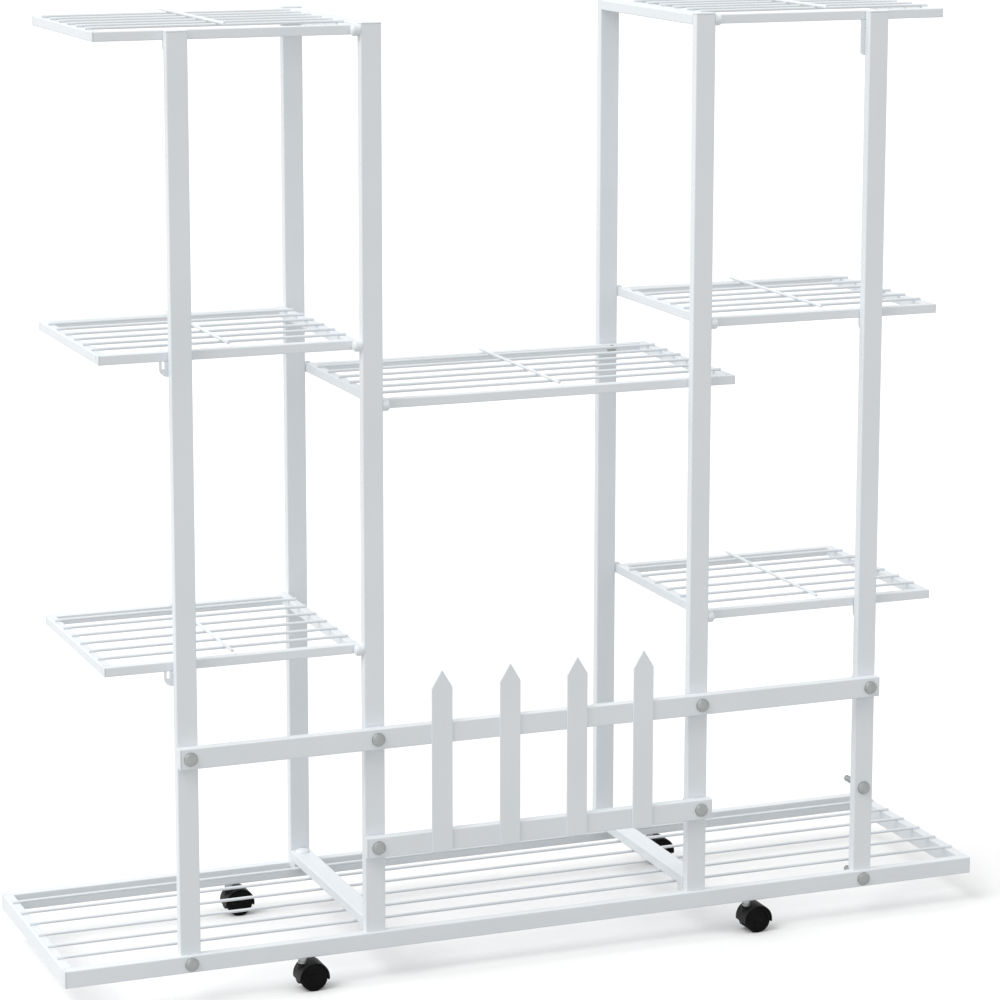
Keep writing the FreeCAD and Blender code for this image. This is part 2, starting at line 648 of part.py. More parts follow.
def shelf(node, x_start, length, top):
    """One wire shelf, from the X of its left end and the height of its rails' top."""
    mid_height = f"{top} - shelf_tube / 2"
    mid_y = "(shelf_half_depth - shelf_tube / 2)"
    long_rails = [closed_tube(f"{node}_{end}_rail", "shelf_tube", "shelf_tube", x_start, length,
                              f"{sign}{mid_y}", mid_height) for end, sign in ENDS.items()]
    side_rails = [tube(f"{node}_{side}_rail", "y", "shelf_tube", "shelf_tube", "shelf_clear",
                       (x_mid, "-shelf_clear / 2", mid_height))
                  for side, x_mid in (("left", f"{x_start} + shelf_tube / 2"),
                                      ("right", f"{x_start} + {length} - shelf_tube / 2"))]
    if node == "middle_shelf":
        holes = [rod(f"{node}_{end}_screw_hole", SCREW_HOLE, "shelf_tube + 2 * cut_overrun", "y",
                     ("ladder_half_spacing", f"{sign}{mid_y} - shelf_tube / 2 - cut_overrun", mid_height))
                 for end, sign in ENDS.items()]
        long_rails = [cut(f"{node}_{end}_drilled", rail, [hole])
                      for end, rail, hole in zip(ENDS, long_rails, holes)]
    keep(f"{node}_frame", group(f"{node}_frame", long_rails + side_rails))
    seat_starts = {"left": x_start, "right": f"{x_start} + {length} - shelf_tube"}
    seats = [seat(f"{node}_{side}_seat", start, "shelf_tube", "shelf_half_depth", top)
             for side, start in seat_starts.items()]
    spread = wires(f"{node}_wires", f"{x_start} + wire_end_margin", f"{x_start} + {length} - wire_end_margin",
                   "shelf_wire_pitch", top, seats)
    cross = rod(f"{node}_cross_wire", "wire_diameter", "shelf_clear + shelf_tube", "y",
                (f"{x_start} + {length} / 2", "-(shelf_clear + shelf_tube) / 2",
                 f"{top} + wire_rise + wire_diameter - weld_setdown"))
    keep(f"{node}_wires", group(f"{node}_wires", [spread, cut(f"{node}_cross_seated", cross, [spread])]))


def bush_pair(node, x_face, outward, top):
    """A bush and its screw at the front and the rear of a shelf, from a ladder post's side face outward."""
    height = f"{top} - shelf_tube / 2"
    away = "" if outward > 0 else " - bush_length"
    head_start = f"{x_face} + bush_length" if outward > 0 else f"{x_face} - bush_length"
    for end, sign in ENDS.items():
        label = f"{node}_{end}"
        y = f"{sign}post_mid"
        bush_start = (f"{x_face}{away}", y, height)
        blank = rod(f"{label}_bush_blank", "bush_diameter", "bush_length", "x", bush_start)
        bore = rod(f"{label}_bush_bore", SCREW_HOLE, "bush_length + 2 * cut_overrun", "x",
                   (f"{x_face}{away} - cut_overrun", y, height))
        rail_y = "-shelf_half_depth" if end == "front" else "shelf_half_depth - bush_diameter"
        rail_space = box(f"{label}_rail_space",
                         ("bush_length + 2 * cut_overrun", "bush_diameter", "2 * bush_diameter"),
                         (f"{x_face}{away} - cut_overrun", rail_y, f"{height} - bush_diameter"))
        bushes.append(cut(f"{label}_bush", blank, [bore, rail_space]))
        shank_start = f"{x_face} - bush_screw_grip" if outward > 0 else f"{x_face} - bush_length"
        shank = rod(f"{label}_screw_shank", "screw_diameter", "bush_length + bush_screw_grip", "x",
                    (shank_start, y, height))
        if outward > 0:
            head = cone(f"{label}_screw_head", "bush_head_diameter", "bush_head_diameter * dome_top_share",
                        "bush_head_height", "x", (head_start, y, height))
        else:
            head = cone(f"{label}_screw_head", "bush_head_diameter * dome_top_share", "bush_head_diameter",
                        "bush_head_height", "x", (f"{head_start} - bush_head_height", y, height))
        bush_screws.append(fuse(f"{label}_screw", [shank, head]))


def lug(node, post_x, top, overhang, drop, screw_heights):
    """A lug under a shelf's front rail, screwed to the back of an outer post and rounded at one corner."""
    width = f"{overhang} + post_width / 2 + screw_head_diameter / 2"
    x_start = f"{post_x} - post_width / 2 - {overhang}"
    floor = f"{top} - shelf_tube - {drop}"
    corner = "strap_overhang" if overhang == "strap_overhang" else "lug_corner"
    plate = box(f"{node}_lug_plate", (f"{width} - {corner}", "lug_thickness", drop),
                (f"{x_start} + {corner}", "-post_back", floor))
    crown = box(f"{node}_lug_crown", (corner, "lug_thickness", f"{drop} - {corner}"),
                (x_start, "-post_back", f"{floor} + {corner}"))
    disc = rod(f"{node}_lug_disc", f"2 * {corner}", "lug_thickness", "y",
               (f"{x_start} + {corner}", "-post_back", f"{floor} + {corner}"))
    trim_size = (f"2 * ({corner} + cut_overrun)", "lug_thickness + 2 * cut_overrun", corner)
    trim = box(f"{node}_lug_trim", trim_size,
               (f"{x_start} - cut_overrun", "-post_back - cut_overrun", f"{top} - shelf_tube"))
    round_end = cut(f"{node}_lug_round", disc, [trim])
    holes = []
    if overhang == "lug_overhang":
        slot_size = ("lug_slot_width", "lug_thickness + 2 * cut_overrun", "lug_slot_drop + cut_overrun")
        slot_floor = f"{top} - shelf_tube - lug_slot_drop"
        holes.append(box(f"{node}_lug_slot", slot_size,
                         (f"{x_start} + lug_rim", "-post_back - cut_overrun", slot_floor)))
    for i, height in enumerate(screw_heights):
        holes.append(rod(f"{node}_lug_hole_{i}", SCREW_HOLE, "lug_thickness + 2 * cut_overrun", "y",
                         (post_x, "-post_back - cut_overrun", height)))
        shank = rod(f"{node}_lug_shank_{i}", "screw_diameter", "lug_thickness + lug_screw_grip", "y",
                    (post_x, "-post_back - lug_screw_grip", height))
        head = cone(f"{node}_lug_head_{i}", "screw_head_diameter", "screw_head_diameter * dome_top_share",
                    "screw_head_height", "y", (post_x, "-post_back + lug_thickness", height))
        short_screws.append(fuse(f"{node}_lug_screw_{i}", [shank, head]))
    lugs.append(cut(f"{node}_lug", fuse(f"{node}_lug_blank", [plate, crown, round_end]), holes))


ladder_outer_face = "ladder_half_spacing + post_width / 2"
ladder_inner_face = "ladder_half_spacing - post_width / 2"
shelf_starts = {
    "left": f"-({ladder_outer_face} + fit_gap + side_shelf_length)",
    "right": f"{ladder_outer_face} + fit_gap",
}
for tier in SIDE_TIERS:
    for side, x_start in shelf_starts.items():
        shelf(f"{side}_{tier}_shelf", x_start, "side_shelf_length", TIERS[tier])
    bush_pair(f"left_{tier}", f"-({ladder_outer_face})", -1, TIERS[tier])
    bush_pair(f"right_{tier}", f"{ladder_outer_face}", 1, TIERS[tier])
    for side, sign in SIDES.items():
        overhang, drop = lug_shape(side, tier)
        lug(f"{side}_{tier}", f"{sign}outer_post_half_spacing", TIERS[tier], overhang, drop,
            lug_screw_heights(side, tier))
shelf("middle_shelf", f"-({ladder_inner_face}) + fit_gap", "middle_shelf_length", TIERS["middle"])
bush_pair("middle", f"-({ladder_inner_face})", 1, TIERS["middle"])

# The middle shelf's far side is screwed from inside to the right ladder's posts
for end, sign in ENDS.items():
    height = f"{TIERS['middle']} - shelf_tube / 2"
    reach = "shelf_tube + fit_gap + tube_wall + rail_screw_grip"
    inner_face = "(shelf_half_depth - shelf_tube)"
    if end == "front":
        shank_y = f"-({inner_face} + {reach})"
        head_y = f"-{inner_face}"
        wide, narrow = "screw_head_diameter", "screw_head_diameter * dome_top_share"
    else:
        shank_y = inner_face
        head_y = f"{inner_face} - screw_head_height"
        wide, narrow = "screw_head_diameter * dome_top_share", "screw_head_diameter"
    shank = rod(f"middle_{end}_rail_shank", "screw_diameter", reach, "y",
                ("ladder_half_spacing", shank_y, height))
    head = cone(f"middle_{end}_rail_head", wide, narrow, "screw_head_height", "y",
                ("ladder_half_spacing", head_y, height))
    short_screws.append(fuse(f"middle_{end}_rail_screw", [shank, head]))
keep("shelf_bushes", group("shelf_bushes", bushes))
keep("shelf_bush_screws", group("shelf_bush_screws", bush_screws))
keep("shelf_short_screws", group("shelf_short_screws", short_screws))
keep("outer_post_lugs", group("outer_post_lugs", lugs))


# Fence: two tubes bolted to the front posts, with flat pointed pickets welded across them
def fence_rail(node, half_length, rise, bolt_places):
    """A fence tube across the front posts, with its bolt holes."""
    height = f"base_top + {rise}"
    body = closed_tube(node, "fence_tube_depth", "fence_tube_height", f"-{half_length}", f"2 * {half_length}",
                       "-(post_front + fence_tube_depth / 2)", height)
    holes = [rod(f"{node}_hole_{i}", BOLT_HOLE, "fence_tube_depth + 2 * cut_overrun", "y",
                 (x, "-(fence_front + cut_overrun)", height)) for i, x in enumerate(bolt_places)]
    drilled(node, body, holes)


LADDER_BOLTS = [f"{sign}ladder_half_spacing" for sign in SIDES.values()]
OUTER_BOLTS = [f"{sign}outer_post_half_spacing" for sign in SIDES.values()]
fence_rail("fence_upper_rail", "fence_half_length", "fence_upper_rise", OUTER_BOLTS + LADDER_BOLTS)
fence_rail("fence_lower_rail", "fence_lower_half_length", "fence_lower_rise", LADDER_BOLTS)


def add_pointed_strip(sketch, width, height, point_height):
    """A strip that stands on the sketch's origin and ends in a centred point."""
    corners = [Vector(-1, 0, 0), Vector(1, 0, 0), Vector(1, 2, 0), Vector(0, 3, 0), Vector(-1, 2, 0)]
    sketch.addGeometry([Part.LineSegment(corners[i], corners[(i + 1) % 5]) for i in range(5)], False)
    for i in range(5):
        sketch.addConstraint(Sketcher.Constraint("Coincident", i, 2, (i + 1) % 5, 1))
    sketch.addConstraint(Sketcher.Constraint("Symmetric", 0, 1, 0, 2, -1, 1))
    sketch.addConstraint(Sketcher.Constraint("Horizontal", 0))
    sketch.addConstraint(Sketcher.Constraint("Vertical", 1))
    sketch.addConstraint(Sketcher.Constraint("Vertical", 4))
    sketch.addConstraint(Sketcher.Constraint("Equal", 1, 4))
    sketch.addConstraint(Sketcher.Constraint("PointOnObject", 2, 2, -2))
    sizes = (("strip_width", Sketcher.Constraint("DistanceX", 0, 1, 0, 2, 2.0), width),
             ("shoulder", Sketcher.Constraint("DistanceY", 1, 1, 1, 2, 2.0), f"{height} - {point_height}"),
             ("point", Sketcher.Constraint("DistanceY", 2, 1, 2, 2, 1.0), point_height))
    for label, constraint, text in sizes:
        sketch.renameConstraint(sketch.addConstraint(constraint), label)
        sketch.setExpression(f"Constraints.{label}", formula(text))


def picket(name, x):
    """A flat strip with a pointed top, on the fence rails' front faces."""
    body = doc.addObject("PartDesign::Body", name)
    outline = new_sketch(body, name + "_outline")
    add_pointed_strip(outline, "picket_width", "picket_height", "picket_point_height")
    pad = body.newObject("PartDesign::Pad", name + "_pad")
    pad.Profile = outline
    bind(pad, {"Length": "picket_thickness"})
    floor = "base_top + fence_lower_rise - fence_tube_height / 2"
    return place(body, x, "-fence_front", floor, Rotation(Vector(1, 0, 0), 90))


# Bolts and nuts of the fence, of the outer posts' feet and of the spare hole in the right outer post
def bolt(name, x, y_seat, z):
    """A domed bolt along Y whose head seats on a face that looks to the front."""
    shank = rod(f"{name}_shank", "bolt_diameter", "bolt_length", "y", (x, y_seat, z))
    rim = rod(f"{name}_rim", "bolt_head_diameter", "bolt_head_rim", "y", (x, f"{y_seat} - bolt_head_rim", z))
    dome_start = (x, f"{y_seat} - bolt_head_rim - bolt_head_dome", z)
    dome = cone(f"{name}_dome", "bolt_head_diameter * dome_top_share", "bolt_head_diameter", "bolt_head_dome",
                "y", dome_start)
    return fuse(name, [shank, rim, dome])


def nut(name, x, y_face, z):
    """A hexagon nut on a bolt, seated on a face that looks to the back."""
    blank = hexagon(f"{name}_blank", "nut_width", "nut_height", "y", (x, y_face, z))
    bore = rod(f"{name}_bore", "bolt_diameter", "nut_height + 2 * cut_overrun", "y",
               (x, f"{y_face} - cut_overrun", z))
    return cut(name, blank, [bore])


pickets = [picket(f"picket_{i}", f"({i} - 1.5) * picket_pitch") for i in range(4)]
keep("fence_pickets", group("fence_pickets", pickets))
UPPER_BOLT_HEIGHT = "base_top + fence_upper_rise"
LOWER_BOLT_HEIGHT = "base_top + fence_lower_rise"
bolt_rows = [(x, "-fence_front", "-post_back", UPPER_BOLT_HEIGHT) for x in OUTER_BOLTS + LADDER_BOLTS]
bolt_rows += [(x, "-fence_front", "-post_back", LOWER_BOLT_HEIGHT) for x in LADDER_BOLTS]
bolt_rows += [("outer_post_half_spacing", "-post_front", "-post_back", LOWER_BOLT_HEIGHT)]
tab_back = "-(base_half_depth - base_rail_width) + foot_tab_thickness"
bolt_rows += [(x, "-base_half_depth", tab_back, rail_height_middle) for x in OUTER_BOLTS]
keep("frame_bolts", group("frame_bolts", [bolt(f"bolt_{i}", x, seat_y, z)
                                          for i, (x, seat_y, _, z) in enumerate(bolt_rows)]))
keep("frame_nuts", group("frame_nuts", [nut(f"nut_{i}", x, nut_y, z)
                                        for i, (x, _, nut_y, z) in enumerate(bolt_rows)]))


# Plugs in the posts' tops
for side, sign in SIDES.items():
    tops = [(f"{side}_outer", f"{sign}outer_post_half_spacing", "-post_mid", "base_top + top_shelf_rise")]
    tops += [(f"{side}_{end}_ladder", f"{sign}ladder_half_spacing", f"{end_sign}post_mid", "ladder_top")
             for end, end_sign in ENDS.items()]
    for label, x, y, top in tops:
        flange_start = (x, y, f"{top} - plug_flange")
        tongue_start = (x, y, f"{top} - plug_flange - plug_insert")
        plugs.append(end_plug(f"{label}_plug", "z", "post_width", "post_depth", flange_start, tongue_start))
keep("tube_end_plugs", group("tube_end_plugs", plugs))

doc.recompute()
failed = [f"{o.Name}: {o.State}" for o in doc.Objects if {"Invalid", "Error"} & set(o.State)]
failed += [f"{n}: bad shape" for n, o in nodes.items() if o.Shape.isNull() or not o.Shape.isValid()]
if failed:
    raise RuntimeError("; ".join(failed))

os.makedirs("parts", exist_ok=True)
for node, thing in nodes.items():
    thing.Shape.exportStep(f"parts/{node}.step")
print(f"{len(nodes)} nodes, {sum(len(o.Shape.Solids) for o in nodes.values())} solids")
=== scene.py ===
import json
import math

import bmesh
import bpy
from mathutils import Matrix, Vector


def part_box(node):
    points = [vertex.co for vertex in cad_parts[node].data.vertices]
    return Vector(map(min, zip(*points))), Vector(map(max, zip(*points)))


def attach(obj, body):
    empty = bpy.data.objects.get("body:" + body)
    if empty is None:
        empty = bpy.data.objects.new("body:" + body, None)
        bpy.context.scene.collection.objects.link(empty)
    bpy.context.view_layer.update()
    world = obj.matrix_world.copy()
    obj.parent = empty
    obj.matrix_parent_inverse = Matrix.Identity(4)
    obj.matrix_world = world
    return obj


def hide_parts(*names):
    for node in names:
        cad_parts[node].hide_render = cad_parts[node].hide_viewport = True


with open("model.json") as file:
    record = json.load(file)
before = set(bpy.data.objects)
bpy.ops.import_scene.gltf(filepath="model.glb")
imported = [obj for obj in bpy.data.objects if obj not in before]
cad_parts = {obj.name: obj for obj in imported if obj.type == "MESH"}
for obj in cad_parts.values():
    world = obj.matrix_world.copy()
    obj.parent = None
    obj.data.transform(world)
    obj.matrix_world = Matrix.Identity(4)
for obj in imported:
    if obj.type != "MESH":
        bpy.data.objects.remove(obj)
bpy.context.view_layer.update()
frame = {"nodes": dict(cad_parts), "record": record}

# %% [markdown]
# # A plant stand on casters
# The stand is a bolted and welded frame of white coated steel tube. It carries seven wire shelves,
# a low picket fence and four small twin-wheel casters. The solids come in with the frame, at the
# origin and in metres, so this lesson only dresses them: it keeps the tubes and wires as they are,
# and it makes the small parts anew where a round dome, a rolled edge or a moulded rim shows.

nodes = frame["nodes"]
MM = 0.001
MERGE = 0.002 * MM
scene = bpy.context.scene
scene.view_settings.view_transform = "Standard"

# %% [markdown]
# ## The camera
# The photograph was taken with a long lens from the left of the stand and from above its middle,
# and the upright tubes stay almost parallel in it. Such a picture comes from a camera that is
# nearly level, with its lens shifted down. Here the camera tilts down a little and a small shift
# does the rest, so that the stand also stays in the frame when the camera goes round it.

# %% Camera
LENS = 125.037
SENSOR = 36.0
CAMERA_SHIFT = (0.02237, -0.1)
CAMERA_PLACE = Vector((-1.22435, -3.09748, 1.14085))
CAMERA_YAW = math.radians(-21.273)
CAMERA_TILT = math.radians(10.364)
CAMERA_ROLL = math.radians(0.011)

camera_data = bpy.data.cameras.new("camera")
camera_data.lens = LENS
camera_data.sensor_width = SENSOR
camera_data.shift_x, camera_data.shift_y = CAMERA_SHIFT
camera = bpy.data.objects.new("camera", camera_data)
turn = Matrix.Rotation(CAMERA_YAW, 4, "Z") @ Matrix.Rotation(math.pi / 2 - CAMERA_TILT, 4, "X")
camera.matrix_world = Matrix.Translation(CAMERA_PLACE) @ turn @ Matrix.Rotation(CAMERA_ROLL, 4, "Z")
scene.collection.objects.link(camera)
scene.camera = camera
print("camera at", tuple(round(v, 3) for v in CAMERA_PLACE), "lens", round(camera_data.lens, 1))

# %% [markdown]
# ## Node helpers
# A material is a small graph of nodes. Writing each link out is long, so three helpers add a node
# with its values, connect sockets by name and set up a colour ramp. They keep the graphs below as
# short as their idea.


# %% Node helpers
def add_node(tree, kind, **values):
    """A node of that kind, with its inputs or its own properties set by name."""
    node = tree.nodes.new(kind)
    for name, value in values.items():
        socket = name.replace("_", " ")
        if socket in node.inputs:
            node.inputs[socket].default_value = value
        else:
            setattr(node, name, value)
    return node


def wire_up(tree, *pairs):
    """Links (node, output name) to (node, input name or number)."""
    for (giver, output), (taker, entry) in pairs:
        tree.links.new(giver.outputs[output], taker.inputs[entry])


def ramp(tree, stops):
    """A colour ramp between two stops, each a (place, grey or colour) pair."""
    node = tree.nodes.new("ShaderNodeValToRGB")
    for element, (place, tone) in zip(node.color_ramp.elements, stops):
        element.position = place
        element.color = (*tone, 1.0) if isinstance(tone, tuple) else (tone, tone, tone, 1.0)
    return node


print("node helpers ready")

# %% [markdown]
# ## Surface grain, shared by every finish
# Powder coat, moulded plastic and plated steel all have the same kind of flaw at different sizes: a
# fine grain that roughens the highlight, and broad soft patches that change the tone a little. A
# picture of each coat would need a UV map on every tube, so noise makes both instead. One node
# group gives a mask for each. It reads Object coordinates, which are the stand's own metres, so the
# grain has one true size on all the pieces and stays in place when a caster turns.

# %% Grain group
GRAIN_SIZE = 900.0
GRAIN_NOISE = {"Detail": 3.0, "Roughness": 0.6}
PATCH_SIZE = 14.0
PATCH_NOISE = {"Detail": 2.0, "Roughness": 0.5}


def grain_group():
    """A node group that gives a fine and a broad noise mask, each with its own size per metre."""
    tree = bpy.data.node_groups.new("surface_grain", "ShaderNodeTree")
    for name, value in (("Grain size", GRAIN_SIZE), ("Patch size", PATCH_SIZE)):
        socket = tree.interface.new_socket(name=name, in_out="INPUT", socket_type="NodeSocketFloat")
        socket.default_value = value
    for name in ("Grain", "Patches"):
        tree.interface.new_socket(name=name, in_out="OUTPUT", socket_type="NodeSocketFloat")
    entry = tree.nodes.new("NodeGroupInput")
    leave = tree.nodes.new("NodeGroupOutput")
    place = tree.nodes.new("ShaderNodeTexCoord")
    fine = add_node(tree, "ShaderNodeTexNoise", **GRAIN_NOISE)
    broad = add_node(tree, "ShaderNodeTexNoise", **PATCH_NOISE)
    wire_up(
        tree,
        ((place, "Object"), (fine, "Vector")),
        ((place, "Object"), (broad, "Vector")),
        ((entry, "Grain size"), (fine, "Scale")),
        ((entry, "Patch size"), (broad, "Scale")),
        ((fine, "Fac"), (leave, "Grain")),
        ((broad, "Fac"), (leave, "Patches")),
    )
    return tree


GRAIN = grain_group()
masks = [socket.name for socket in GRAIN.interface.items_tree if socket.in_out == "OUTPUT"]
print("group", GRAIN.name, "gives", masks)

# %% [markdown]
# ## The finishes
# Five finishes cover the stand: white powder coat on the steel, dull zinc on the bolts, nuts and
# stems, black moulded nylon on the caster hoods, black tread on the wheels and axle caps, and white
# moulded plastic on the tube plugs and caster sockets. They differ in tone, gloss and grain but not
# in build-up, so one function makes them all. The patches tint the colour, and the grain sets the
# roughness and a very low bump.

# %% Finishes
TONE_STOPS = (0.3, 0.7)
GLOSS_STOPS = (0.25, 0.75)
COAT_ROUGHNESS = 0.25
BUMP_DEPTH = 0.2 * MM


def finish(name, tones, gloss, grain, patch, bump, metallic=0.0, coat=0.0, shine=0.5):
    """A material: tones and gloss as (low, high) pairs, grain and patch as sizes per metre."""
    material = bpy.data.materials.new(name)
    material.use_nodes = True
    tree = material.node_tree
    shader = tree.nodes["Principled BSDF"]
    shader.inputs["Metallic"].default_value = metallic
    shader.inputs["Specular IOR Level"].default_value = shine
    shader.inputs["Coat Weight"].default_value = coat
    shader.inputs["Coat Roughness"].default_value = COAT_ROUGHNESS
    effect = tree.nodes.new("ShaderNodeGroup")
    effect.node_tree = GRAIN
    effect.inputs["Grain size"].default_value = grain
    effect.inputs["Patch size"].default_value = patch
    colour = ramp(tree, zip(TONE_STOPS, tones))
    rough = ramp(tree, zip(GLOSS_STOPS, gloss))
    relief = add_node(tree, "ShaderNodeBump", Strength=bump, Distance=BUMP_DEPTH)
    wire_up(
        tree,
        ((effect, "Patches"), (colour, "Fac")),
        ((effect, "Grain"), (rough, "Fac")),
        ((effect, "Grain"), (relief, "Height")),
        ((colour, "Color"), (shader, "Base Color")),
        ((rough, "Color"), (shader, "Roughness")),
        ((relief, "Normal"), (shader, "Normal")),
    )
    return material


FINISHES = {
    "white_coat": finish(
        "white_powder_coat",
        tones=((0.79, 0.828, 0.855), (0.82, 0.855, 0.884)),
        gloss=(0.36, 0.5),
        grain=1100.0,
        patch=9.0,
        bump=0.12,
        coat=0.08,
    ),
    "zinc_steel": finish(
        "zinc_plated_steel",
        tones=((0.35, 0.368, 0.362), (0.4, 0.418, 0.412)),
        gloss=(0.56, 0.7),
        grain=2200.0,
        patch=160.0,
        bump=0.1,
        metallic=0.85,
    ),
    "black_plastic": finish(
        "black_moulded_nylon",
        tones=((0.006, 0.006, 0.006), (0.01, 0.01, 0.011)),
        gloss=(0.4, 0.54),
        grain=2600.0,
        patch=60.0,
        bump=0.2,
        shine=0.15,
    ),
    "black_tread": finish(
        "black_wheel_tread",
        tones=((0.003, 0.003, 0.003), (0.006, 0.006, 0.006)),
        gloss=(0.5, 0.66),
        grain=3000.0,
        patch=90.0,
        bump=0.25,
        shine=0.08,
    ),
    "white_plastic": finish(
        "white_moulded_plug",
        tones=((0.79, 0.818, 0.835), (0.82, 0.846, 0.862)),
        gloss=(0.42, 0.55),
        grain=1800.0,
        patch=40.0,
        bump=0.1,
    ),
}
print("finishes:", sorted(FINISHES))

# %% [markdown]
# ## Every solid gets its finish
# The record names a slot for each node, such as white_coat or zinc_steel. Each solid takes the
# finish of its own slot, so nothing is left bare, and the solids that get a better-looking piece
# later are hidden by it.

# %% Finish on the solids
SLOTS = {row["node"]: row["material_slot"] for row in frame["record"]["subparts"]}
for name, solid in nodes.items():
    solid.data.materials.clear()
    solid.data.materials.append(FINISHES[SLOTS[name]])
print("finished solids:", {slot: list(SLOTS.values()).count(slot) for slot in FINISHES})

# %% [markdown]
# ## Reading places from the solids
# A bolt head or a plug has to sit where its solid is. Instead of writing each place down again, the
# lesson reads it: a copy of the node's mesh is merged and split into its loose pieces, and each
# piece gives its own points. A new piece then takes the place of its node, with the node's finish
# and on its body.

# %% Loose pieces of a node, and the piece that takes its place
SHARP_ANGLE = math.radians(35)


def corner(points, pick):
    """The lowest or highest corner of the points, with min or max to pick it."""
    return Vector(pick(point[i] for point in points) for i in range(3))


def loose_pieces(name):
    """The points of each separate solid in a node, from a merged copy of its mesh."""
    mesh = bmesh.new()
    mesh.from_mesh(nodes[name].data)
    bmesh.ops.remove_doubles(mesh, verts=mesh.verts, dist=MERGE)
    left = set(mesh.verts)
    found = []
    while left:
        front = [left.pop()]
        group = list(front)
        while front:
            vert = front.pop()
            near = {edge.other_vert(vert) for edge in vert.link_edges} & left
            left -= near
            front.extend(near)
            group.extend(near)
        found.append([vert.co.copy() for vert in group])
    mesh.free()
    return sorted(found, key=lambda points: tuple(round(place, 5) for place in corner(points, min)))


def keep_piece(mesh, new_name, node, body):
    """The mesh as an object that takes a node's place and finish on a body, with soft shading."""
    bmesh.ops.recalc_face_normals(mesh, faces=mesh.faces)
    data = bpy.data.meshes.new(new_name)
    mesh.to_mesh(data)
    mesh.free()
    for face in data.polygons:
        face.use_smooth = True
    data.set_sharp_from_angle(angle=SHARP_ANGLE)
    data.materials.append(FINISHES[SLOTS[node]])
    piece = bpy.data.objects.new(new_name, data)
    scene.collection.objects.link(piece)
    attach(piece, body)
    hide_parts(node)
    return piece


for name in ("frame_bolts", "tube_end_plugs"):
    print(name, "has", len(loose_pieces(name)), "loose pieces")

# %% [markdown]
# ## Turned pieces
# Bolts, screws and wheels are turned or moulded round an axis. A cylinder with a bevel would do for
# a pin, but not for a dome, a thread or a dished wheel. So a profile is drawn once as a line of
# points, (radius, distance along the axis), and bmesh spins it all the way round. The points on the
# axis merge into one pole, so the shape closes.

# %% Lathe
LATHE_STEPS = 32
DOME_STEPS = 6


def lathe(mesh, profile, seat, axis, steps=LATHE_STEPS):
    """Spins a profile about an axis through seat; distances along it run in the axis direction."""
    frame_turn = Vector((0, 0, 1)).rotation_difference(Vector(axis)).to_matrix().to_4x4()
    verts = [mesh.verts.new((radius, 0, along)) for radius, along in profile]
    edges = [mesh.edges.new(pair) for pair in zip(verts, verts[1:])]
    bmesh.ops.spin(
        mesh,
        geom=verts + edges,
        cent=(0, 0, 0),
        axis=(0, 0, 1),
        angle=math.tau,
        steps=steps,
        use_merge=True,
    )
    # Points of earlier turned pieces in this mesh are tagged, so only the new ones move to the seat
    ring = list({vert for face in mesh.faces for vert in face.verts if not vert.tag})
    bmesh.ops.transform(mesh, matrix=Matrix.Translation(seat) @ frame_turn, verts=ring)
    bmesh.ops.remove_doubles(mesh, verts=ring, dist=MERGE)
    for vert in mesh.verts:
        vert.tag = True


def dome(radius, rim, rise):
    """Half profile of a domed head, from the rim's outer edge over the dome to its middle."""
    points = []
    for step in range(DOME_STEPS + 1):
        lean = math.pi / 2 * step / DOME_STEPS
        points.append((radius * math.cos(lean), rim + rise * math.sin(lean)))
    points[-1] = (0.0, rim + rise)
    return points


unit_dome = [(round(radius, 2), round(along, 2)) for radius, along in dome(1, 0, 1)]
print("a dome of radius and rise 1:", unit_dome)

# %% [markdown]
# ## Measuring the bolts and screws
# The fence and the feet of the outer posts are held by cup-head bolts: a plain round dome, a thin
# rim and a threaded shank that comes out at the back. The shelves and the ladders' feet have
# shorter screws. Each could be placed by hand, but there are many, and all of them are a shank with
# a wider head. So one function measures a solid's axis, its seat and its radii.

# %% Measuring a fastener
RIM_REACH_SHARE = 0.98
TAIL_TOLERANCE = 0.1 * MM


def fastener_facts(points):
    """Axis from shank to head, seat on it, head radius and height, shank radius and length."""
    low, high = corner(points, min), corner(points, max)
    along = max(range(3), key=lambda i: high[i] - low[i])
    middle = (low + high) / 2
    axis = Vector((0, 0, 0))
    axis[along] = 1.0
    spread = [((p - middle - axis * (p - middle)[along]).length, p[along]) for p in points]
    head_radius = max(radius for radius, _ in spread)
    rim = [place for radius, place in spread if radius > head_radius * RIM_REACH_SHARE]
    towards_high = sum(rim) / len(rim) > middle[along]
    seat = middle.copy()
    seat[along] = min(rim) if towards_high else max(rim)
    head_end = high[along] if towards_high else low[along]
    tail_end = low[along] if towards_high else high[along]
    tail = [radius for radius, place in spread if abs(place - tail_end) < TAIL_TOLERANCE]
    return {
        "axis": axis if towards_high else -axis,
        "seat": seat,
        "head_radius": head_radius,
        "head_height": abs(head_end - seat[along]),
        "shank_radius": max(tail),
        "shank_length": abs(tail_end - seat[along]),
    }


bolt = fastener_facts(loose_pieces("frame_bolts")[0])
for fact in ("head_radius", "head_height", "shank_radius", "shank_length"):
    print("a bolt's", fact, "is", round(bolt[fact] / MM, 2), "mm")

# %% [markdown]
# ## Turning the bolts and screws
# A second function turns the true shape at each measured place: a curved dome, and rings of thread
# where the shank shows. A real thread is a helix, but at this size rings look the same, and the
# lathe makes them along with the rest of the profile.

# %% Turned bolts and screws
THREAD_PITCH = 1.0 * MM
THREAD_DEPTH = 0.35 * MM
THREAD_RUN = 14.0 * MM
TAIL_CHAMFER = 0.5 * MM


